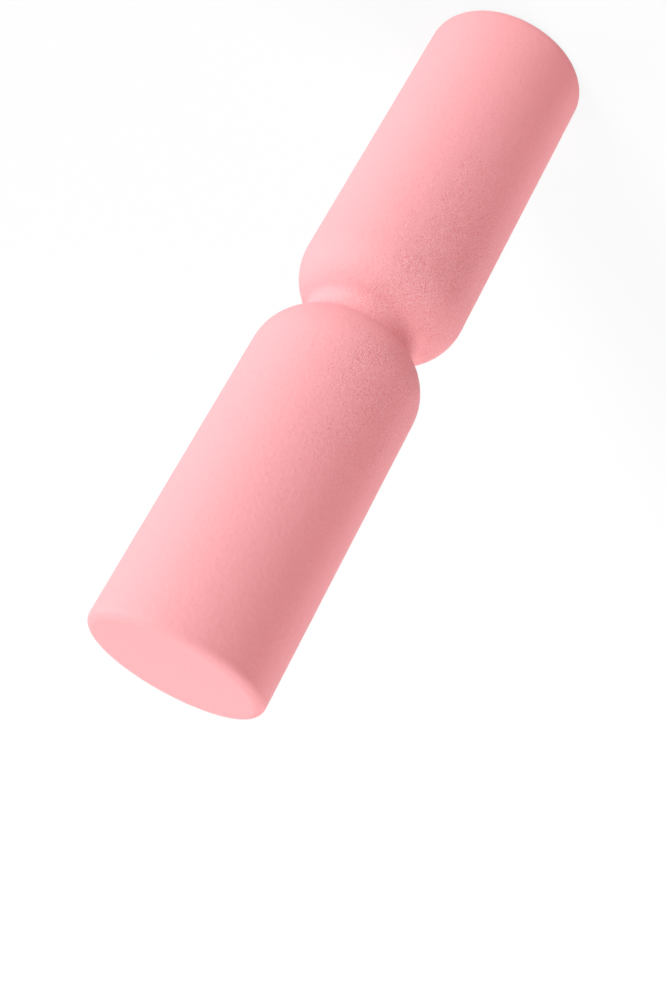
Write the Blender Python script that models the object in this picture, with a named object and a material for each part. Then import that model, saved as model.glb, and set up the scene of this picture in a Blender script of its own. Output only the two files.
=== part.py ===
"""Hourglass foam roller, standing on one of its two end faces.

Two equal closed-cell EVA foam mouldings are joined mouth to mouth at the waist. Each is a thick-walled cup:
a closed, flat end with a soft edge, a long straight barrel, a round shoulder and half of the waist. A plastic
pipe runs inside both of them and keeps the roller straight under a person's weight. A ribbed plug in each end
of the pipe carries the foam of the end face.

Metres, +Z up. The roller's axis is Z and the origin is the centre of the end face that it stands on.
"""

import math

import bmesh
import bpy

MM = 0.001

# Outer form of the foam
LENGTH = 610 * MM
RADIUS = 70 * MM
WAIST_RADIUS = 46 * MM
SHOULDER_ARC = 48 * MM
VALLEY_ARC = 12 * MM
END_EDGE_ARC = 7 * MM
END_FOAM = 30 * MM
BORE_CHAMFER = 2 * MM

# Core pipe, a common 63 mm size
PIPE_RADIUS = 31.5 * MM
PIPE_WALL = 3 * MM
PIPE_CHAMFER = 0.6 * MM

# Injection-moulded plug in each end of the pipe
FLANGE_THICKNESS = 3 * MM
FLANGE_EDGE = 0.8 * MM
SPIGOT_LENGTH = 22 * MM
SPIGOT_WALL = 2.5 * MM
SPIGOT_LEAD_IN = 1 * MM
HUB_RADIUS = 7.5 * MM
HUB_BORE_RADIUS = 5 * MM
RIBS = 6
RIB_THICKNESS = 2 * MM
POCKET_CORNER = 1.5 * MM
POCKET_CORNER_STEPS = 3
POCKET_ARC_STEPS = 6
DRAFT = math.radians(1)

# Clearance between pieces that touch, and points closer than MERGE are one point
GAP = 0.3 * MM
MERGE = 0.001 * MM

# Facets
FOAM_FACETS = 72
CORE_FACETS = 48
SHOULDER_STEPS = 10
VALLEY_STEPS = 8
END_EDGE_STEPS = 6
SMOOTH_BELOW = math.radians(32)

# Heights and radii that follow
WAIST_HEIGHT = LENGTH / 2
BORE_RADIUS = PIPE_RADIUS + GAP
PLUG_BASE = END_FOAM + GAP
PIPE_BASE = PLUG_BASE + FLANGE_THICKNESS + GAP
PIPE_LENGTH = LENGTH - 2 * PIPE_BASE
SPIGOT_RADIUS = PIPE_RADIUS - PIPE_WALL - GAP


def linear_colour(hex_colour):
    """Linear RGBA from an sRGB hex string such as 'f9b4b8'."""
    channels = [int(hex_colour[i : i + 2], 16) / 255 for i in (0, 2, 4)]
    return [c / 12.92 if c <= 0.04045 else ((c + 0.055) / 1.055) ** 2.4 for c in channels] + [1.0]


def principled(name, hex_colour, roughness):
    material = bpy.data.materials.new(name)
    material.use_nodes = True
    shader = material.node_tree.nodes["Principled BSDF"]
    shader.inputs["Base Color"].default_value = linear_colour(hex_colour)
    shader.inputs["Roughness"].default_value = roughness
    shader.inputs["Metallic"].default_value = 0.0
    return material


def eva_foam():
    """Closed-cell EVA foam with the fine matt skin that the mould leaves, dyed pink."""
    return principled("EVA foam, moulded skin", "f5adb1", 0.9)


def pipe_plastic():
    """Extruded ABS pipe in the off-white of unpigmented stock."""
    return principled("ABS, extruded", "e6e2d8", 0.45)


def plug_plastic():
    """Injection-moulded polypropylene."""
    return principled("Polypropylene, moulded", "3a3b3e", 0.5)


def arc(centre, radius, start, end, steps):
    """Points (radius, height) on a circle, from one angle to another, both included."""
    angles = [start + (end - start) * i / steps for i in range(steps + 1)]
    return [(centre[0] + radius * math.cos(a), centre[1] + radius * math.sin(a)) for a in angles]


def foam_outline():
    """Outer side of one foam moulding, from the waist down to the end face.

    The waist is a concave arc that is level at mid length, and the shoulder is a convex arc that runs
    tangent into the barrel. Both turn by the same angle. The two arcs' centres are VALLEY_ARC +
    SHOULDER_ARC apart, and the drop from barrel to waist sets the angle at which they meet.
    """
    reach = VALLEY_ARC + SHOULDER_ARC
    turn = math.acos(1 - (RADIUS - WAIST_RADIUS) / reach)
    valley_centre = (WAIST_RADIUS + VALLEY_ARC, WAIST_HEIGHT)
    shoulder_centre = (RADIUS - SHOULDER_ARC, WAIST_HEIGHT - reach * math.sin(turn))
    end_edge_centre = (RADIUS - END_EDGE_ARC, END_EDGE_ARC)
    valley = arc(valley_centre, VALLEY_ARC, math.pi, math.pi + turn, VALLEY_STEPS)
    shoulder = arc(shoulder_centre, SHOULDER_ARC, turn, 0, SHOULDER_STEPS)
    end_edge = arc(end_edge_centre, END_EDGE_ARC, 0, -math.pi / 2, END_EDGE_STEPS)
    # Each moulding stops half a gap short of the other, where the waist is still level.
    mouth = (WAIST_RADIUS, WAIST_HEIGHT - GAP / 2)
    return [mouth] + valley[1:] + shoulder[1:] + end_edge


def foam_profile():
    """Half section of one foam moulding: up the blind bore, over the mouth and down the outer side."""
    mouth_height = WAIST_HEIGHT - GAP / 2
    bore = [
        (0, END_FOAM),
        (BORE_RADIUS, END_FOAM),
        (BORE_RADIUS, mouth_height - BORE_CHAMFER),
        (BORE_RADIUS + BORE_CHAMFER, mouth_height),
    ]
    return bore + foam_outline() + [(0, 0)]


def pipe_profile():
    """Closed half section of the core pipe, with both ends chamfered inside and out."""
    outer, inner, top, edge = PIPE_RADIUS, PIPE_RADIUS - PIPE_WALL, PIPE_LENGTH, PIPE_CHAMFER
    return [
        (inner, edge),
        (inner, top - edge),
        (inner + edge, top),
        (outer - edge, top),
        (outer, top - edge),
        (outer, edge),
        (outer - edge, 0),
        (inner + edge, 0),
    ]


def plug_profile():
    """Half section of the plug before its pockets are cut: the spigot tapers and has a lead-in."""
    top = FLANGE_THICKNESS + SPIGOT_LENGTH
    spigot_end = SPIGOT_RADIUS - SPIGOT_LENGTH * math.tan(DRAFT)
    return [
        (0, top),
        (spigot_end - SPIGOT_LEAD_IN, top),
        (spigot_end, top - SPIGOT_LEAD_IN),
        (SPIGOT_RADIUS, FLANGE_THICKNESS),
        (PIPE_RADIUS - FLANGE_EDGE, FLANGE_THICKNESS),
        (PIPE_RADIUS, FLANGE_THICKNESS - FLANGE_EDGE),
        (PIPE_RADIUS, FLANGE_EDGE),
        (PIPE_RADIUS - FLANGE_EDGE, 0),
        (0, 0),
    ]


def finish_mesh(name, shape):
    """Closes the seams of a bmesh, turns its faces outwards and returns it as a smooth-shaded mesh."""
    bmesh.ops.remove_doubles(shape, verts=shape.verts, dist=MERGE)
    bmesh.ops.recalc_face_normals(shape, faces=shape.faces)
    mesh = bpy.data.meshes.new(name)
    shape.to_mesh(mesh)
    shape.free()
    mesh.shade_smooth()
    mesh.set_sharp_from_angle(angle=SMOOTH_BELOW)
    return mesh


def turned(name, profile, facets, closed=False):
    """Mesh of a (radius, height) profile turned about Z. An open profile starts and ends on the axis."""
    shape = bmesh.new()
    points = [shape.verts.new((radius, 0, height)) for radius, height in profile]
    ends = points[1:] + points[:1] if closed else points[1:]
    edges = [shape.edges.new(pair) for pair in zip(points, ends)]
    bmesh.ops.spin(
        shape,
        geom=points + edges,
        cent=(0, 0, 0),
        axis=(0, 0, 1),
        angle=math.tau,
        steps=facets,
        use_merge=True,
    )
    return finish_mesh(name, shape)


def pocket_outline(growth):
    """Plan of the pocket between two ribs, hub and spigot wall, with each wall set back by growth.

    A rib's side is parallel to its middle line, so it leaves a circle of radius r at the angle whose
    sine is half the rib over r.
    """
    inner, outer = HUB_RADIUS - growth, SPIGOT_RADIUS - SPIGOT_WALL + growth
    half_rib = RIB_THICKNESS / 2 - growth
    sector = math.tau / RIBS
    inner_start, outer_start = math.asin(half_rib / inner), math.asin(half_rib / outer)
    far = arc((0, 0), outer, outer_start, sector - outer_start, POCKET_ARC_STEPS)
    near = arc((0, 0), inner, sector - inner_start, inner_start, POCKET_ARC_STEPS)
    return far + near


def plug_pockets():
    """Cutter for the plug: one tapered pocket for each gap between ribs, and a blind bore in the hub.

    The pockets widen with the mould's draft towards the open side, which they run past.
    """
    height = SPIGOT_LENGTH + SPIGOT_LEAD_IN
    widening = height * math.tan(DRAFT)
    shape = bmesh.new()
    floor = [shape.verts.new((x, y, FLANGE_THICKNESS)) for x, y in pocket_outline(0)]
    mouth = [shape.verts.new((x, y, FLANGE_THICKNESS + height)) for x, y in pocket_outline(widening)]
    shape.faces.new(floor[::-1])
    shape.faces.new(mouth)
    count = len(floor)
    for i in range(count):
        j = (i + 1) % count
        shape.faces.new((floor[i], floor[j], mouth[j], mouth[i]))
    corners = [0, POCKET_ARC_STEPS, POCKET_ARC_STEPS + 1, count - 1]
    uprights = [edge for edge in shape.edges if any(set(edge.verts) == {floor[i], mouth[i]} for i in corners)]
    bmesh.ops.bevel(
        shape,
        geom=uprights,
        offset=POCKET_CORNER,
        offset_type="OFFSET",
        segments=POCKET_CORNER_STEPS,
        profile=0.5,
        affect="EDGES",
    )
    bmesh.ops.spin(
        shape,
        geom=shape.verts[:] + shape.edges[:] + shape.faces[:],
        cent=(0, 0, 0),
        axis=(0, 0, 1),
        angle=math.tau * (RIBS - 1) / RIBS,
        steps=RIBS - 1,
        use_duplicate=True,
    )
    hub_bore = [
        (0, FLANGE_THICKNESS + height),
        (HUB_BORE_RADIUS + widening, FLANGE_THICKNESS + height),
        (HUB_BORE_RADIUS, FLANGE_THICKNESS),
        (0, FLANGE_THICKNESS),
    ]
    bore_mesh = turned("hub_bore", hub_bore, CORE_FACETS // 2)
    shape.from_mesh(bore_mesh)
    bpy.data.meshes.remove(bore_mesh)
    return finish_mesh("plug_pockets", shape)


def add_object(name, mesh, parent, height, upside_down=False):
    """Object on the axis at a height, as modelled or turned over about X."""
    piece = bpy.data.objects.new(name, mesh)
    piece.location.z = height
    piece.rotation_euler.x = math.pi if upside_down else 0
    piece.parent = parent
    bpy.context.scene.collection.objects.link(piece)
    return piece


def add_lobes(parent):
    """The two foam mouldings come from one mould, so they share a mesh."""
    mesh = turned("foam_moulding", foam_profile(), FOAM_FACETS)
    mesh.materials.append(eva_foam())
    add_object("lower_lobe", mesh, parent, 0)
    add_object("upper_lobe", mesh, parent, LENGTH, upside_down=True)


def add_core_tube(parent):
    mesh = turned("core_pipe", pipe_profile(), CORE_FACETS, closed=True)
    mesh.materials.append(pipe_plastic())
    add_object("core_tube", mesh, parent, PIPE_BASE)


def add_core_plugs(parent):
    """One plug in each end of the pipe, flange outwards. Each keeps its Boolean with its own cutter."""
    mesh = turned("core_plug", plug_profile(), CORE_FACETS)
    mesh.materials.append(plug_plastic())
    pockets = plug_pockets()
    for name, height, upside_down in (
        ("lower_core_plug", PLUG_BASE, False),
        ("upper_core_plug", LENGTH - PLUG_BASE, True),
    ):
        plug = add_object(name, mesh, parent, height, upside_down)
        cutter = add_object(name + "_pockets", pockets, parent, height, upside_down)
        cutter.hide_render = True
        cutter.display_type = "WIRE"
        cut = plug.modifiers.new("Rib pockets", "BOOLEAN")
        cut.operation = "DIFFERENCE"
        cut.solver = "EXACT"
        cut.object = cutter


def main():
    for old in list(bpy.data.objects):
        bpy.data.objects.remove(old)
    bpy.context.scene.unit_settings.scale_length = 1.0
    roller = bpy.data.objects.new("hourglass_roller", None)
    bpy.context.scene.collection.objects.link(roller)
    add_lobes(roller)
    add_core_tube(roller)
    add_core_plugs(roller)


main()
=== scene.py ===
"""Looks of an hourglass foam roller: its foam skin, its core's finishes and a plain studio.

The file is laid out as an add-on and run as a script. The roller stands on one end face, in metres with
+Z up, and its axis is Z. The foam's sizes are read from the solids or are among the properties below.
"""

import math

import bpy
import numpy as np
from mathutils import Matrix, Vector


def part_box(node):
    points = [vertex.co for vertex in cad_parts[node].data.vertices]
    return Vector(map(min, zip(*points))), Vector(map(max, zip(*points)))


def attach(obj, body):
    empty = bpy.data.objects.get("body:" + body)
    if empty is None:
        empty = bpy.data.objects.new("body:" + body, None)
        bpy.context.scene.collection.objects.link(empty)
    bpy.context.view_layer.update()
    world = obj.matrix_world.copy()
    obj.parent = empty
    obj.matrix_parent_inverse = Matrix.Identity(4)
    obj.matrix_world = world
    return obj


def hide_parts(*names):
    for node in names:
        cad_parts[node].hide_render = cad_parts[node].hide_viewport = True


bl_info = {
    "name": "Hourglass Foam Roller",
    "version": (1, 0, 0),
    "blender": (4, 5, 0),
    "location": "View3D > Sidebar > Foam Roller",
    "description": "Foam skin, core finishes and studio of an hourglass foam roller",
    "category": "Add Mesh",
}

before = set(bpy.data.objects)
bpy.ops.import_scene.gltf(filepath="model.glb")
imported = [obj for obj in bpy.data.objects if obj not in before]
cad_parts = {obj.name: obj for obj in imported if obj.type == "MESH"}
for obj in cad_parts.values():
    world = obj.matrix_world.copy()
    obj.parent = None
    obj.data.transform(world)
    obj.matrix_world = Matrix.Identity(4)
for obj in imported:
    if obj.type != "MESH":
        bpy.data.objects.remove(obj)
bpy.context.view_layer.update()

MM = 0.001
BODY = "root"
LOWER_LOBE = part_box("lower_lobe")
CORE_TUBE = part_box("core_tube")
LOWER_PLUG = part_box("lower_core_plug")

# Sizes that the solids give
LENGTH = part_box("upper_lobe")[1].z
WAIST_HEIGHT = LENGTH / 2
RADIUS = LOWER_LOBE[1].x
PIPE_RADIUS = CORE_TUBE[1].x
PLUG_BASE = LOWER_PLUG[0].z

# Sizes of the foam that don't show: the glued joint round the core, the bevel at the bore's mouth, and a
# hair's breadth between the two mouldings, too thin to see and enough to keep them apart
JOINT_GAP = 0.3 * MM
MOUTH_BEVEL = 2 * MM
MOULDINGS_APART = 0.005 * MM

# Distances between the mesh's points: on the skin, round the end's edge, over the end face, on the faces
# inside and along the bore. Then the points in one turn round the roller, and the least angle of a sharp
# edge, in degrees
SKIN_STEP = 1.6 * MM
EDGE_STEP = 0.9 * MM
END_FACE_STEP = 2 * MM
INSIDE_STEP = 6 * MM
BORE_STEP = 30 * MM
POINTS_ROUND = 320
SHARP_ANGLE = 40

# The slow waves in the foam's surface
WAVE_COUNT = 48
WAVE_SEED = 7
SHORTEST_WAVE = 9 * MM
LONGEST_WAVE = 45 * MM

# The photograph's camera: where it stands, how many degrees it looks down and is rolled on its side, its
# focal length in millimetres, and how far its picture is shifted, as a share of the picture's height
CAMERA_PLACE = Vector((-10.9, -1042.4, 894.0)) * MM
CAMERA_DOWN = 26.601
CAMERA_ROLL = 151.194
CAMERA_LENS = 54.843
CAMERA_SHIFT = -0.0903
CAMERA_NEAREST = 0.05
CAMERA_FARTHEST = 100


def linear(hex_colour):
    """Linear red, green and blue of an sRGB hex colour such as '#f9b8bb'."""
    channels = [int(hex_colour[i : i + 2], 16) / 255 for i in (1, 3, 5)]
    return [c / 12.92 if c <= 0.04045 else ((c + 0.055) / 1.055) ** 2.4 for c in channels]


def rgba(hex_colour):
    """The same colour as sockets and properties take it, with nothing see-through."""
    return (*linear(hex_colour), 1.0)


class FoamProperties(bpy.types.PropertyGroup):
    """Sizes and colours of the foam mouldings."""

    waist_radius: bpy.props.FloatProperty(
        name="Waist radius",
        description="Radius of the roller at the middle of its waist",
        default=46 * MM,
        unit="LENGTH",
    )
    shoulder_arc: bpy.props.FloatProperty(
        name="Shoulder arc",
        description="Radius of the convex arc between barrel and waist",
        default=48 * MM,
        unit="LENGTH",
    )
    valley_arc: bpy.props.FloatProperty(
        name="Valley arc",
        description="Radius of the concave arc at the bottom of the waist",
        default=12 * MM,
        unit="LENGTH",
    )
    end_edge_arc: bpy.props.FloatProperty(
        name="End edge",
        description="Radius of the rounded edge round each end face",
        default=7 * MM,
        unit="LENGTH",
    )
    wave_depth: bpy.props.FloatProperty(
        name="Moulding waves",
        description="Depth of the slow unevenness that foam keeps after it leaves the mould",
        default=0.03 * MM,
        precision=5,
        unit="LENGTH",
    )
    grain_size: bpy.props.FloatProperty(
        name="Grain",
        description="Width of one bump of the suede-like skin",
        default=1.0 * MM,
        precision=4,
        unit="LENGTH",
    )
    grain_height: bpy.props.FloatProperty(
        name="Grain height",
        description="Height of the skin's bumps round the waist, where they are highest",
        default=0.18 * MM,
        precision=5,
        unit="LENGTH",
    )
    mottle_size: bpy.props.FloatProperty(
        name="Mottle",
        description="Width of the shallow dimples that the grain lies on",
        default=3.5 * MM,
        precision=4,
        unit="LENGTH",
    )
    mottle_height: bpy.props.FloatProperty(
        name="Mottle height",
        description="Height of the shallow dimples, over the whole range of their noise",
        default=0.42 * MM,
        precision=5,
        unit="LENGTH",
    )
    smooth_side: bpy.props.FloatProperty(
        name="Smooth strip",
        description="Grain in the smooth strip along the roller, as a share of that on its coarse side",
        default=0.1,
        min=0,
        max=1,
        subtype="FACTOR",
    )
    # Painted light: the tops of the bumps are drawn lighter than the foam's own pink, which lies midway
    # between this colour and the pits' colour.
    colour: bpy.props.FloatVectorProperty(
        name="Foam colour",
        description="Colour of the dyed foam on the tops of the skin's bumps",
        subtype="COLOR",
        size=4,
        min=0,
        max=1,
        default=rgba("#ffc3c8"),
    )
    # Painted shade: the pits between the bumps are drawn darker than the foam's own pink, as shade falling
    # in them would make them.
    painted_pit_shade_colour: bpy.props.FloatVectorProperty(
        name="Pit colour",
        description="Colour between the bumps, where light goes in and out of the foam more often",
        subtype="COLOR",
        size=4,
        min=0,
        max=1,
        default=rgba("#eb9194"),
    )
    # Painted bounce light: where the grain is strong, the pits are drawn redder, as light thrown from bump
    # to bump would make them. It is no change in the foam's own colour.
    crowded_painted_bounce: bpy.props.FloatVectorProperty(
        name="Crowded pit colour",
        description="Colour between the bumps where they crowd and light each other",
        subtype="COLOR",
        size=4,
        min=0,
        max=1,
        default=rgba("#f5969c"),
    )


class CoreProperties(bpy.types.PropertyGroup):
    """Colours of the pipe and plugs inside the foam."""

    pipe_colour: bpy.props.FloatVectorProperty(
        name="Pipe colour",
        description="Colour of the extruded pipe",
        subtype="COLOR",
        size=4,
        min=0,
        max=1,
        default=rgba("#e6e2d8"),
    )
    plug_colour: bpy.props.FloatVectorProperty(
        name="Plug colour",
        description="Colour of the moulded plugs",
        subtype="COLOR",
        size=4,
        min=0,
        max=1,
        default=rgba("#3a3b3e"),
    )


class StageProperties(bpy.types.PropertyGroup):
    """Size and colour of the floor."""

    floor_radius: bpy.props.FloatProperty(
        name="Floor radius",
        description="Radius of the round floor, beyond which the white background takes over",
        default=30.0,
        unit="LENGTH",
    )
    floor_colour: bpy.props.FloatVectorProperty(
        name="Floor colour",
        description="Colour of the floor in the light that it throws onto the roller",
        subtype="COLOR",
        size=4,
        min=0,
        max=1,
        default=rgba("#decdcd"),
    )


def node(tree, kind, inputs=None, **settings):
    """Adds a node to a tree. Settings are its properties, and an input is a value or a socket to link."""
    made = tree.nodes.new(kind)
    for name, value in settings.items():
        setattr(made, name, value)
    for name, value in (inputs or {}).items():
        if isinstance(value, bpy.types.NodeSocket):
            tree.links.new(value, made.inputs[name])
        else:
            made.inputs[name].default_value = value
    return made


def new_material(name):
    """A material with an empty node tree, and that tree."""
    material = bpy.data.materials.new(name)
    material.use_nodes = True
    material.node_tree.nodes.clear()
    return material, material.node_tree


def per_metre(size):
    """Scale of a pattern in Object coordinates whose features are that wide."""
    return 1 / size


# How strongly the grain shows along the roller, from the end it stands on, at 0, to the other one, at 1:
# the mould is polished where its end plates sit and coarsest where it closes round the waist
GRAIN_ALONG_ROLLER = (
    (0.0, 0.0),
    (0.02, 0.06),
    (0.115, 0.12),
    (0.18, 0.35),
    (0.246, 0.70),
    (0.31, 0.90),
    (0.37, 1.0),
    (0.56, 1.0),
    (0.64, 0.80),
    (0.70, 0.62),
    (0.755, 0.38),
    (0.82, 0.24),
    (0.885, 0.08),
    (0.985, 0.05),
    (1.0, 0.0),
)

# The strip that came smoother from the mould: the side of the roller that it is on, in degrees from the
# camera towards +X, and how far towards that side, as a share of the radius, the grain starts to fade and
# is as faint as it gets
STRIP_SIDE = 60
STRIP_STARTS = 0.3
STRIP_IS_SMOOTH = 0.95

# Patches of weaker grain: their width, the noise in the weakest and in the strongest, and the share of the
# grain that the weakest keeps
PATCH_SIZE = 24 * MM
PATCH_NOISE = (0.35, 0.65)
PATCH_GRAIN = 0.7

# The grain's noise swings about its middle. A bump stands out once it swings by more than a least amount,
# which is nothing where the grain is strongest and LEAST_SWING where there is none, and it is as high as
# it gets when it swings by FULL_SWING more.
NOISE_MIDDLE = 0.5
FULL_SWING = 0.13
LEAST_SWING = 0.2

# Height of the dimples where there is no grain, as a share of that where it is strongest
CALM_DIMPLES = 0.6

# Roughness at the bottom of a pit and on top of a bump, which hands polish a little
PIT_ROUGHNESS = 0.74
TOP_ROUGHNESS = 0.64


def grain_strength(tree, place):
    """How strong the grain is at each place, from 0 to 1.

    It is the product of its strength along the roller, across the smooth strip and in the patches.
    """
    foam = bpy.context.scene.roller_foam
    height = node(tree, "ShaderNodeSeparateXYZ", {"Vector": place}).outputs["Z"]
    share = node(tree, "ShaderNodeMath", {0: height, 1: LENGTH}, operation="DIVIDE").outputs[0]
    along = node(tree, "ShaderNodeFloatCurve", {"Value": share})
    curve = along.mapping.curves[0]
    for end, spot in zip(curve.points, (GRAIN_ALONG_ROLLER[0], GRAIN_ALONG_ROLLER[-1])):
        end.location = spot
    for spot in GRAIN_ALONG_ROLLER[1:-1]:
        curve.points.new(*spot)
    along.mapping.update()
    turn = math.radians(STRIP_SIDE)
    towards_strip = (math.sin(turn) / RADIUS, -math.cos(turn) / RADIUS, 0.0)
    side = node(tree, "ShaderNodeVectorMath", {0: place, 1: towards_strip}, operation="DOT_PRODUCT")
    coarse_side = node(
        tree,
        "ShaderNodeMapRange",
        {
            "Value": side.outputs["Value"],
            "From Min": STRIP_STARTS,
            "From Max": STRIP_IS_SMOOTH,
            "To Min": 1.0,
            "To Max": foam.smooth_side,
        },
        interpolation_type="SMOOTHSTEP",
    )
    patches = node(
        tree,
        "ShaderNodeTexNoise",
        {"Vector": place, "Scale": per_metre(PATCH_SIZE), "Detail": 1.0, "Roughness": 0.5},
    )
    patchiness = node(
        tree,
        "ShaderNodeMapRange",
        {
            "Value": patches.outputs["Fac"],
            "From Min": PATCH_NOISE[0],
            "From Max": PATCH_NOISE[1],
            "To Min": PATCH_GRAIN,
            "To Max": 1.0,
        },
    )
    strength = along.outputs["Value"]
    for factor in (coarse_side, patchiness):
        strength = node(
            tree,
            "ShaderNodeMath",
            {0: strength, 1: factor.outputs["Result"]},
            operation="MULTIPLY",
        ).outputs[0]
    return strength


def grain_bumps(tree, place, strength):
    """Height of the grain at each place, from -1 in the deepest pits to 1 on the highest bumps.

    Where the grain is strong its bumps and pits crowd, and where it is weak only the largest stand out:
    the swing of the noise, without its sign, loses an amount that falls as the strength grows, and gets
    its sign back.
    """
    foam = bpy.context.scene.roller_foam
    grain = node(
        tree,
        "ShaderNodeTexNoise",
        {"Vector": place, "Scale": per_metre(foam.grain_size), "Detail": 1.0, "Roughness": 0.5},
    ).outputs["Fac"]
    swing = node(tree, "ShaderNodeMath", {0: grain, 1: NOISE_MIDDLE}, operation="SUBTRACT").outputs[0]
    size = node(tree, "ShaderNodeMath", {0: swing}, operation="ABSOLUTE").outputs[0]
    lost = node(
        tree,
        "ShaderNodeMapRange",
        {"Value": strength, "From Min": 0.0, "From Max": 1.0, "To Min": LEAST_SWING, "To Max": 0.0},
    ).outputs["Result"]
    size = node(tree, "ShaderNodeMath", {0: size, 1: lost}, operation="SUBTRACT").outputs[0]
    size = node(
        tree,
        "ShaderNodeMapRange",
        {"Value": size, "From Min": 0.0, "From Max": FULL_SWING},
    ).outputs["Result"]
    sign = node(tree, "ShaderNodeMath", {0: swing}, operation="SIGN").outputs[0]
    return node(tree, "ShaderNodeMath", {0: size, 1: sign}, operation="MULTIPLY").outputs[0]


def skin_relief(tree, place, strength, bumps):
    """The skin's normal: the grain on shallow dimples, which are flatter where the grain is weak."""
    foam = bpy.context.scene.roller_foam
    dimples = node(
        tree,
        "ShaderNodeTexNoise",
        {"Vector": place, "Scale": per_metre(foam.mottle_size), "Detail": 0.0, "Roughness": 0.5},
    ).outputs["Fac"]
    dimples = node(tree, "ShaderNodeMath", {0: dimples, 1: NOISE_MIDDLE}, operation="SUBTRACT").outputs[0]
    to_grain = foam.mottle_height / foam.grain_height
    depth = node(
        tree,
        "ShaderNodeMapRange",
        {
            "Value": strength,
            "From Min": 0.0,
            "From Max": 1.0,
            "To Min": CALM_DIMPLES * to_grain,
            "To Max": to_grain,
        },
    ).outputs["Result"]
    surface = node(
        tree,
        "ShaderNodeMath",
        {0: dimples, 1: depth, 2: bumps},
        operation="MULTIPLY_ADD",
    ).outputs[0]
    return node(
        tree,
        "ShaderNodeBump",
        {"Strength": 1.0, "Distance": foam.grain_height, "Height": surface},
    ).outputs["Normal"]


def eva_foam():
    """Closed-cell EVA foam, compression moulded: the skin keeps the mould's blasted texture, a dry suede.

    The eye sees an even, chalky pink with no gloss. Fine bumps show where light grazes them, most of all
    round the waist, and the end faces come smooth from the mould's polished end plates. The real bumps
    are as wide as grains of sand, the finest too fine to show, so all are drawn as wide as the coarsest.
    """
    foam = bpy.context.scene.roller_foam
    material, tree = new_material("EVA foam, moulded suede skin")
    place = node(tree, "ShaderNodeTexCoord").outputs["Object"]
    strength = grain_strength(tree, place)
    bumps = grain_bumps(tree, place, strength)
    # Painted shade and light on the grain: the deeper a pit, the more of the darker pit colour, and the
    # higher a bump, the more of the lighter tops' colour.
    pits = node(
        tree,
        "ShaderNodeMapRange",
        {"Value": bumps, "From Min": -1.0, "From Max": 1.0, "To Min": 1.0, "To Max": 0.0},
    )
    # The pits' painted shade, drawn redder where the grain is strong as painted bounce light between the
    # bumps.
    painted_pit_shade_and_bounce = node(
        tree,
        "ShaderNodeMix",
        {"Factor": strength, "A": tuple(foam.painted_pit_shade_colour), "B": tuple(foam.crowded_painted_bounce)},
        data_type="RGBA",
    )
    colour = node(
        tree,
        "ShaderNodeMix",
        {
            "Factor": pits.outputs["Result"],
            "A": tuple(foam.colour),
            "B": painted_pit_shade_and_bounce.outputs["Result"],
        },
        data_type="RGBA",
    )
    roughness = node(
        tree,
        "ShaderNodeMapRange",
        {
            "Value": bumps,
            "From Min": -1.0,
            "From Max": 1.0,
            "To Min": PIT_ROUGHNESS,
            "To Max": TOP_ROUGHNESS,
        },
    )
    shader = node(
        tree,
        "ShaderNodeBsdfPrincipled",
        {
            "Base Color": colour.outputs["Result"],
            "Roughness": roughness.outputs["Result"],
            "IOR": 1.48,
            "Specular IOR Level": 0.65,
            "Sheen Weight": 0.1,
            "Sheen Roughness": 0.4,
            "Sheen Tint": rgba("#f4f4ff"),
            "Normal": skin_relief(tree, place, strength, bumps),
        },
    )
    node(tree, "ShaderNodeOutputMaterial", {"Surface": shader.outputs["BSDF"]})
    return material


def extruded_abs():
    """Unpigmented ABS, extruded: a creamy white, satin, with faint straight lines from the die."""
    core = bpy.context.scene.roller_core
    line_width, line_depth, stretch = 0.8 * MM, 0.02 * MM, 50
    line_colour = rgba("#dcd7ca")
    material, tree = new_material("ABS pipe, extruded")
    place = node(tree, "ShaderNodeTexCoord").outputs["Object"]
    along = node(tree, "ShaderNodeMapping", {"Vector": place, "Scale": (1.0, 1.0, 1 / stretch)})
    lines = node(
        tree,
        "ShaderNodeTexNoise",
        {"Vector": along.outputs["Vector"], "Scale": per_metre(line_width), "Detail": 2.0},
    ).outputs["Fac"]
    relief = node(
        tree,
        "ShaderNodeBump",
        {"Strength": 0.5, "Distance": line_depth, "Height": lines},
    )
    tint = node(
        tree,
        "ShaderNodeMix",
        {"Factor": lines, "A": tuple(core.pipe_colour), "B": line_colour},
        data_type="RGBA",
    )
    shader = node(
        tree,
        "ShaderNodeBsdfPrincipled",
        {
            "Base Color": tint.outputs["Result"],
            "Roughness": 0.42,
            "IOR": 1.53,
            "Normal": relief.outputs["Normal"],
        },
    )
    node(tree, "ShaderNodeOutputMaterial", {"Surface": shader.outputs["BSDF"]})
    return material


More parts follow.
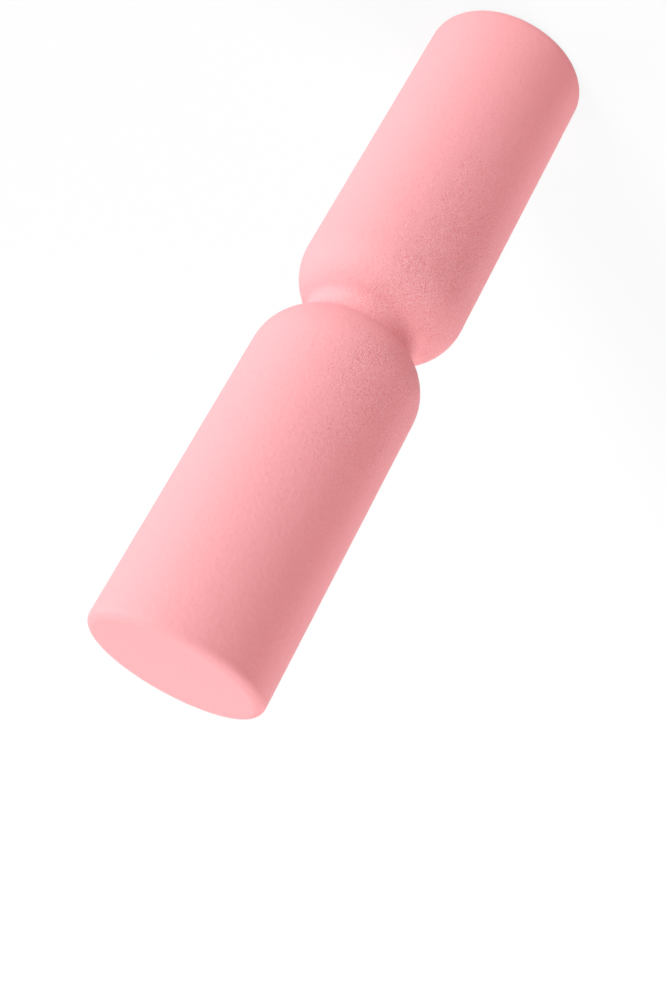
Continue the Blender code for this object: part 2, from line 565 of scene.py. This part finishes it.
def moulded_polypropylene():
    """Black-grey polypropylene, injection moulded in a spark-eroded tool: its satin is finely pebbled."""
    core = bpy.context.scene.roller_core
    pebble_width, pebble_height = 0.4 * MM, 0.02 * MM
    pebble_noise = (0.3, 0.7)
    smoothest, roughest = 0.42, 0.55
    material, tree = new_material("Polypropylene, injection moulded")
    place = node(tree, "ShaderNodeTexCoord").outputs["Object"]
    pebbles = node(
        tree,
        "ShaderNodeTexNoise",
        {"Vector": place, "Scale": per_metre(pebble_width), "Detail": 1.0},
    ).outputs["Fac"]
    relief = node(
        tree,
        "ShaderNodeBump",
        {"Strength": 0.6, "Distance": pebble_height, "Height": pebbles},
    )
    roughness = node(
        tree,
        "ShaderNodeMapRange",
        {
            "Value": pebbles,
            "From Min": pebble_noise[0],
            "From Max": pebble_noise[1],
            "To Min": smoothest,
            "To Max": roughest,
        },
    )
    shader = node(
        tree,
        "ShaderNodeBsdfPrincipled",
        {
            "Base Color": tuple(core.plug_colour),
            "Roughness": roughness.outputs["Result"],
            "IOR": 1.49,
            "Normal": relief.outputs["Normal"],
        },
    )
    node(tree, "ShaderNodeOutputMaterial", {"Surface": shader.outputs["BSDF"]})
    return material


def arc(centre, radius, start, end, step):
    """Points and normals on a circle in the (radius, height) half plane.

    A point is the centre plus the radius times (cos a, sin a), with the angle a spread evenly from start
    to end so that neighbours are about a step apart. The normal is (cos a, sin a).
    """
    count = max(2, math.ceil(abs(end - start) * radius / step) + 1)
    angle = np.linspace(start, end, count)
    normal = np.stack([np.cos(angle), np.sin(angle)], 1)
    return np.array(centre) + radius * normal, normal


def straight(start, end, normal, step):
    """Points evenly spread from start to end, both included, about a step apart, with one normal."""
    start, end = np.array(start, float), np.array(end, float)
    count = max(2, math.ceil(np.linalg.norm(end - start) / step) + 1)
    share = np.linspace(0, 1, count)[:, None]
    return start + share * (end - start), np.repeat([normal], count, 0)


def foam_section(foam):
    """Closed half section of the lower moulding as points, normals and depth of the skin's waves.

    It runs over the floor of the blind bore, up its wall, over the mouth, down the outer side and in
    along the end face. The outer side is a concave arc and a convex arc that meet at a tangent. With the
    sum s of their radii and the drop d from barrel to waist, both turn by the angle whose cosine is
    1 - d / s. The waves are full on what shows and nil inside.
    """
    bore = PIPE_RADIUS + JOINT_GAP
    bore_floor = PLUG_BASE - JOINT_GAP
    mouth = WAIST_HEIGHT - MOULDINGS_APART
    bevel_start, bevel_end = mouth - MOUTH_BEVEL, bore + MOUTH_BEVEL
    slope = math.sqrt(0.5)
    waist, valley_arc, shoulder_arc, edge = (
        foam.waist_radius,
        foam.valley_arc,
        foam.shoulder_arc,
        foam.end_edge_arc,
    )
    both = valley_arc + shoulder_arc
    turn = math.acos(1 - (RADIUS - waist) / both)
    shoulder_height = WAIST_HEIGHT - both * math.sin(turn)
    hidden = [
        straight((0, bore_floor), (bore, bore_floor), (0, 1), INSIDE_STEP),
        straight((bore, bore_floor), (bore, bevel_start), (-1, 0), BORE_STEP),
        straight((bore, bevel_start), (bevel_end, mouth), (-slope, slope), INSIDE_STEP),
        straight((bevel_end, mouth), (waist, mouth), (0, 1), INSIDE_STEP),
    ]
    # The valley's centre is outside the foam, so its normals turn round, and it starts at the mouth.
    valley_centre = (waist + valley_arc, WAIST_HEIGHT)
    valley, valley_normal = arc(valley_centre, valley_arc, math.pi, math.pi + turn, SKIN_STEP)
    valley[0, 1] = mouth
    shown = [
        (valley, -valley_normal),
        arc((RADIUS - shoulder_arc, shoulder_height), shoulder_arc, turn, 0, SKIN_STEP),
        straight((RADIUS, shoulder_height), (RADIUS, edge), (1, 0), SKIN_STEP),
        arc((RADIUS - edge, edge), edge, 0, -math.pi / 2, EDGE_STEP),
        straight((RADIUS - edge, 0), (0, 0), (0, -1), END_FACE_STEP),
    ]
    points, normals, depth = [], [], []
    for share, runs in ((0.0, hidden), (1.0, shown)):
        for run, normal in runs:
            # A run starts where the one before it ended, so its first point is left out.
            first = 1 if points else 0
            points.append(run[first:])
            normals.append(normal[first:])
            depth.append(np.full(len(run) - first, share))
    return np.concatenate(points), np.concatenate(normals), np.concatenate(depth)


def moulding_waves(places, depth):
    """Slow unevenness at each place: the sum of plane waves with random directions and wavelengths.

    Wave k adds cos(w_k . place + p_k), with a random phase p_k. The sum is scaled so that its root mean
    square is the given depth. It depends on the place alone, so pieces that meet agree.
    """
    chance = np.random.default_rng(WAVE_SEED)
    directions = chance.normal(size=(WAVE_COUNT, 3))
    directions /= np.linalg.norm(directions, axis=1, keepdims=True)
    wavelengths = np.exp(chance.uniform(np.log(SHORTEST_WAVE), np.log(LONGEST_WAVE), WAVE_COUNT))
    phases = chance.uniform(0, math.tau, WAVE_COUNT)
    vectors = directions * (math.tau / wavelengths)[:, None]
    heights = np.zeros(len(places))
    for vector, phase in zip(vectors, phases):
        heights += np.cos(places @ vector + phase)
    return heights * depth * math.sqrt(2 / WAVE_COUNT)


def swept_round(pairs, circle):
    """Pairs (r, h) swept round Z: the first and last go on the axis once, and each other becomes a ring.

    Ring j holds (r_j cos t, r_j sin t, h_j), with (cos t, sin t) from the circle.
    """
    rings = pairs[1:-1]
    flat = (rings[:, None, :1] * circle[None]).reshape(-1, 2)
    heights = np.repeat(rings[:, 1], len(circle))[:, None]
    first, last = [[0, 0, pairs[0, 1]]], [[0, 0, pairs[-1, 1]]]
    return np.concatenate([first, np.concatenate([flat, heights], 1), last])


def turned_mesh(name, section, around, place):
    """Mesh of a closed half section turned about Z, with one vertex at each end on the axis.

    The angle goes round in equal steps. place maps all points at once to where they go, given their
    normals and the depth of their waves. Quads join neighbouring rings, and triangles close both poles.
    """
    points, normals, depth = section
    turn = np.arange(around) * math.tau / around
    circle = np.stack([np.cos(turn), np.sin(turn)], 1)
    depth = np.concatenate([[depth[0]], np.repeat(depth[1:-1], around), [depth[-1]]])
    spots = place(swept_round(points, circle), swept_round(normals, circle), depth)
    ring_count = len(points) - 2
    ring, step = np.meshgrid(np.arange(ring_count - 1), np.arange(around), indexing="ij")
    after = (step + 1) % around
    here, there = 1 + ring * around, 1 + (ring + 1) * around
    quads = np.stack([here + step, there + step, there + after, here + after], -1).reshape(-1, 4)
    step = np.arange(around)
    after = (step + 1) % around
    last = 1 + (ring_count - 1) * around
    pole = len(spots) - 1
    start = np.stack([np.zeros(around, int), 1 + step, 1 + after], 1)
    end = np.stack([np.full(around, pole), last + after, last + step], 1)
    faces = start.tolist() + quads.tolist() + end.tolist()
    mesh = bpy.data.meshes.new(name)
    mesh.from_pydata(spots, [], faces)
    mesh.shade_smooth()
    mesh.set_sharp_from_angle(angle=math.radians(SHARP_ANGLE))
    mesh.update()
    return mesh


def foam_lobe(name, turned_over):
    """One foam moulding as a finished mesh that stands for its plain solid."""
    foam = bpy.context.scene.roller_foam

    def place(spots, outward, depth):
        """Turns the upper moulding over about X, then moves each point along its normal by the waves."""
        if turned_over:
            spots = spots * (1, -1, -1) + (0, 0, LENGTH)
            outward = outward * (1, -1, -1)
        waves = moulding_waves(spots, foam.wave_depth)
        # The end faces stay flat to rest on, and the waves die away round their edges.
        from_end = np.minimum(spots[:, 2], LENGTH - spots[:, 2])
        depth = depth * np.clip(from_end / foam.end_edge_arc, 0, 1)
        return spots + outward * (waves * depth)[:, None]

    mesh = turned_mesh(name, foam_section(foam), POINTS_ROUND, place)
    lobe = bpy.data.objects.new(name, mesh)
    bpy.context.scene.collection.objects.link(lobe)
    return lobe


class ROLLER_OT_foam(bpy.types.Operator):
    """Makes the two foam mouldings and gives them their skin"""

    bl_idname = "roller.foam"
    bl_label = "Foam mouldings"
    bl_options = {"REGISTER", "UNDO"}

    def execute(self, context):
        skin = eva_foam()
        for node_name, piece_name, turned_over in (
            ("lower_lobe", "lower_lobe_foam", False),
            ("upper_lobe", "upper_lobe_foam", True),
        ):
            lobe = foam_lobe(piece_name, turned_over)
            lobe.data.materials.append(skin)
            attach(lobe, BODY)
            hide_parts(node_name)
        return {"FINISHED"}


class ROLLER_OT_core(bpy.types.Operator):
    """Gives the core pipe and its two plugs their plastics"""

    bl_idname = "roller.core"
    bl_label = "Core pipe and plugs"
    bl_options = {"REGISTER", "UNDO"}

    def execute(self, context):
        pipe, plug = extruded_abs(), moulded_polypropylene()
        for node_name, material in (
            ("core_tube", pipe),
            ("upper_core_plug", plug),
            ("lower_core_plug", plug),
        ):
            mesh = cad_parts[node_name].data
            mesh.materials.clear()
            mesh.materials.append(material)
        return {"FINISHED"}


# Softboxes: name, side on the floor plan in degrees from the camera towards +X, height in degrees,
# strength, where 1 lights a surface that faces it as a white sky would, and colour. The key and its fill
# are a little cooler.
SOFTBOXES = (
    ("key", 50, 15, 0.75, "#ebffff"),
    ("fill", 70, 15, 0.135, "#ebffff"),
    ("side", 110, 15, 0.25, "#ffffff"),
    ("back", -120, 45, 0.41, "#f9ffff"),
    ("rim", -90, 45, 0.225, "#ffffff"),
    ("top", 150, 65, 0.145, "#ffffff"),
)

# How wide a softbox looks from the roller, in degrees, and how far off it is drawn, which changes nothing
SOFTBOX_SPREAD = 25
SOFTBOX_DISTANCE = 3

# Even light from all round, warm from the pink that the roller throws onto the walls of a small studio
WORLD_COLOUR = "#ffabab"
WORLD_STRENGTH = 0.325

# How much of its own light and shade the floor shows to the eye, and how bright it looks where nothing
# shades it: a hair over 1, so that it is an even white
SHADE_KEPT = 0.22
FLOOR_LEVEL = 1.01

# Corners of the floor's round rim
FLOOR_CORNERS = 128


def light_on_floor():
    """Red, green and blue of the light on the floor where nothing shades it.

    A softbox counts by the sine of its height, and the world in full. A white floor is that bright.
    """
    total = WORLD_STRENGTH * np.array(linear(WORLD_COLOUR))
    for _, _, up, strength, colour in SOFTBOXES:
        total += strength * math.sin(math.radians(up)) * np.array(linear(colour))
    return total


def seen_by_eye(tree):
    """1 for what the camera sees, also in gloss and through glass, and 0 for the light on the object."""
    path = node(tree, "ShaderNodeLightPath").outputs
    seen = path["Is Camera Ray"]
    for ray in ("Is Glossy Ray", "Is Transmission Ray"):
        seen = node(tree, "ShaderNodeMath", {0: seen, 1: path[ray]}, operation="MAXIMUM").outputs[0]
    return seen


def floor_paint():
    """Matt pale studio paint, rolled on: no gloss, and a light that stays even.

    The floor throws light onto the roller as its paint does. To the eye it keeps a share of its light
    and shade, and a glow adds the rest, so that it is white with the roller's soft shadow on it.
    """
    stage = bpy.context.scene.roller_stage
    material, tree = new_material("Matt studio paint")
    paint = node(
        tree,
        "ShaderNodeBsdfDiffuse",
        {"Color": tuple(stage.floor_colour), "Roughness": 1.0},
    ).outputs["BSDF"]
    unshaded = light_on_floor() * tuple(stage.floor_colour)[:3]
    rest = (FLOOR_LEVEL - SHADE_KEPT * unshaded) / (1 - SHADE_KEPT)
    glow = node(tree, "ShaderNodeEmission", {"Color": (*rest, 1.0), "Strength": 1.0}).outputs["Emission"]
    to_eye = node(tree, "ShaderNodeMixShader", {"Fac": SHADE_KEPT, 1: glow, 2: paint}).outputs["Shader"]
    surface = node(tree, "ShaderNodeMixShader", {"Fac": seen_by_eye(tree), 1: paint, 2: to_eye})
    node(tree, "ShaderNodeOutputMaterial", {"Surface": surface.outputs["Shader"]})
    return material


def add_floor():
    """A round floor under the roller."""
    stage = bpy.context.scene.roller_stage
    turn = np.arange(FLOOR_CORNERS) * math.tau / FLOOR_CORNERS
    rim = np.stack([np.cos(turn), np.sin(turn), 0 * turn], 1) * stage.floor_radius
    mesh = bpy.data.meshes.new("floor")
    mesh.from_pydata(rim, [], [list(range(FLOOR_CORNERS))])
    mesh.materials.append(floor_paint())
    floor = bpy.data.objects.new("floor", mesh)
    bpy.context.scene.collection.objects.link(floor)


def add_world():
    """Even light from all round on the object, and a white background to the eye."""
    world = bpy.data.worlds.new("Studio")
    world.use_nodes = True
    tree = world.node_tree
    tree.nodes.clear()
    light = node(tree, "ShaderNodeBackground", {"Color": rgba(WORLD_COLOUR), "Strength": WORLD_STRENGTH})
    white = node(tree, "ShaderNodeBackground", {"Color": rgba("#ffffff"), "Strength": 1.0})
    mix = node(
        tree,
        "ShaderNodeMixShader",
        {"Fac": seen_by_eye(tree), 1: light.outputs["Background"], 2: white.outputs["Background"]},
    )
    node(tree, "ShaderNodeOutputWorld", {"Surface": mix.outputs["Shader"]})
    bpy.context.scene.world = world


def add_softbox(name, side, up, strength, colour):
    """A large softbox, made as a soft sun: so far off that it lights the roller's whole length alike."""
    a, e = math.radians(side), math.radians(up)
    out = Vector((math.sin(a) * math.cos(e), -math.cos(a) * math.cos(e), math.sin(e)))
    lamp = bpy.data.lights.new(name, "SUN")
    lamp.energy = strength * math.pi
    lamp.angle = math.radians(SOFTBOX_SPREAD)
    lamp.color = linear(colour)
    box = bpy.data.objects.new(name, lamp)
    box.location = Vector((0, 0, WAIST_HEIGHT)) + out * SOFTBOX_DISTANCE
    box.rotation_euler = (-out).to_track_quat("-Z", "Y").to_euler()
    bpy.context.scene.collection.objects.link(box)


def add_camera():
    """The photograph's camera. Its picture is upright, so its longer side is the height."""
    lens = bpy.data.cameras.new("camera")
    lens.lens = CAMERA_LENS
    lens.shift_y = CAMERA_SHIFT
    lens.clip_start = CAMERA_NEAREST
    lens.clip_end = CAMERA_FARTHEST
    camera = bpy.data.objects.new("camera", lens)
    tilt = Matrix.Rotation(math.radians(90 - CAMERA_DOWN), 3, "X")
    roll = Matrix.Rotation(math.radians(-CAMERA_ROLL), 3, "Z")
    camera.rotation_euler = (tilt @ roll).to_euler()
    camera.location = CAMERA_PLACE
    bpy.context.scene.collection.objects.link(camera)
    bpy.context.scene.camera = camera


class ROLLER_OT_stage(bpy.types.Operator):
    """Sets up the floor, the lights, the background and the photograph's camera"""

    bl_idname = "roller.stage"
    bl_label = "Studio"
    bl_options = {"REGISTER", "UNDO"}

    def execute(self, context):
        add_floor()
        add_world()
        for softbox in SOFTBOXES:
            add_softbox(*softbox)
        add_camera()
        context.scene.view_settings.view_transform = "Standard"
        return {"FINISHED"}


class VIEW3D_PT_roller(bpy.types.Panel):
    """Lists the roller's pieces and the sizes and colours behind them"""

    bl_label = "Hourglass foam roller"
    bl_idname = "VIEW3D_PT_roller"
    bl_space_type = "VIEW_3D"
    bl_region_type = "UI"
    bl_category = "Foam Roller"

    def draw(self, context):
        scene = context.scene
        for group, operator in (
            (scene.roller_foam, ROLLER_OT_foam),
            (scene.roller_core, ROLLER_OT_core),
            (scene.roller_stage, ROLLER_OT_stage),
        ):
            column = self.layout.column(align=True)
            for name in group.__annotations__:
                column.prop(group, name)
            column.operator(operator.bl_idname)


CLASSES = (
    FoamProperties,
    CoreProperties,
    StageProperties,
    ROLLER_OT_foam,
    ROLLER_OT_core,
    ROLLER_OT_stage,
    VIEW3D_PT_roller,
)


def register():
    for cls in CLASSES:
        bpy.utils.register_class(cls)
    bpy.types.Scene.roller_foam = bpy.props.PointerProperty(type=FoamProperties)
    bpy.types.Scene.roller_core = bpy.props.PointerProperty(type=CoreProperties)
    bpy.types.Scene.roller_stage = bpy.props.PointerProperty(type=StageProperties)


def unregister():
    del bpy.types.Scene.roller_stage
    del bpy.types.Scene.roller_core
    del bpy.types.Scene.roller_foam
    for cls in reversed(CLASSES):
        bpy.utils.unregister_class(cls)


def main():
    """Registers the add-on and makes the roller and its stage."""
    register()
    bpy.ops.roller.foam()
    bpy.ops.roller.core()
    bpy.ops.roller.stage()


if __name__ == "__main__":
    main()
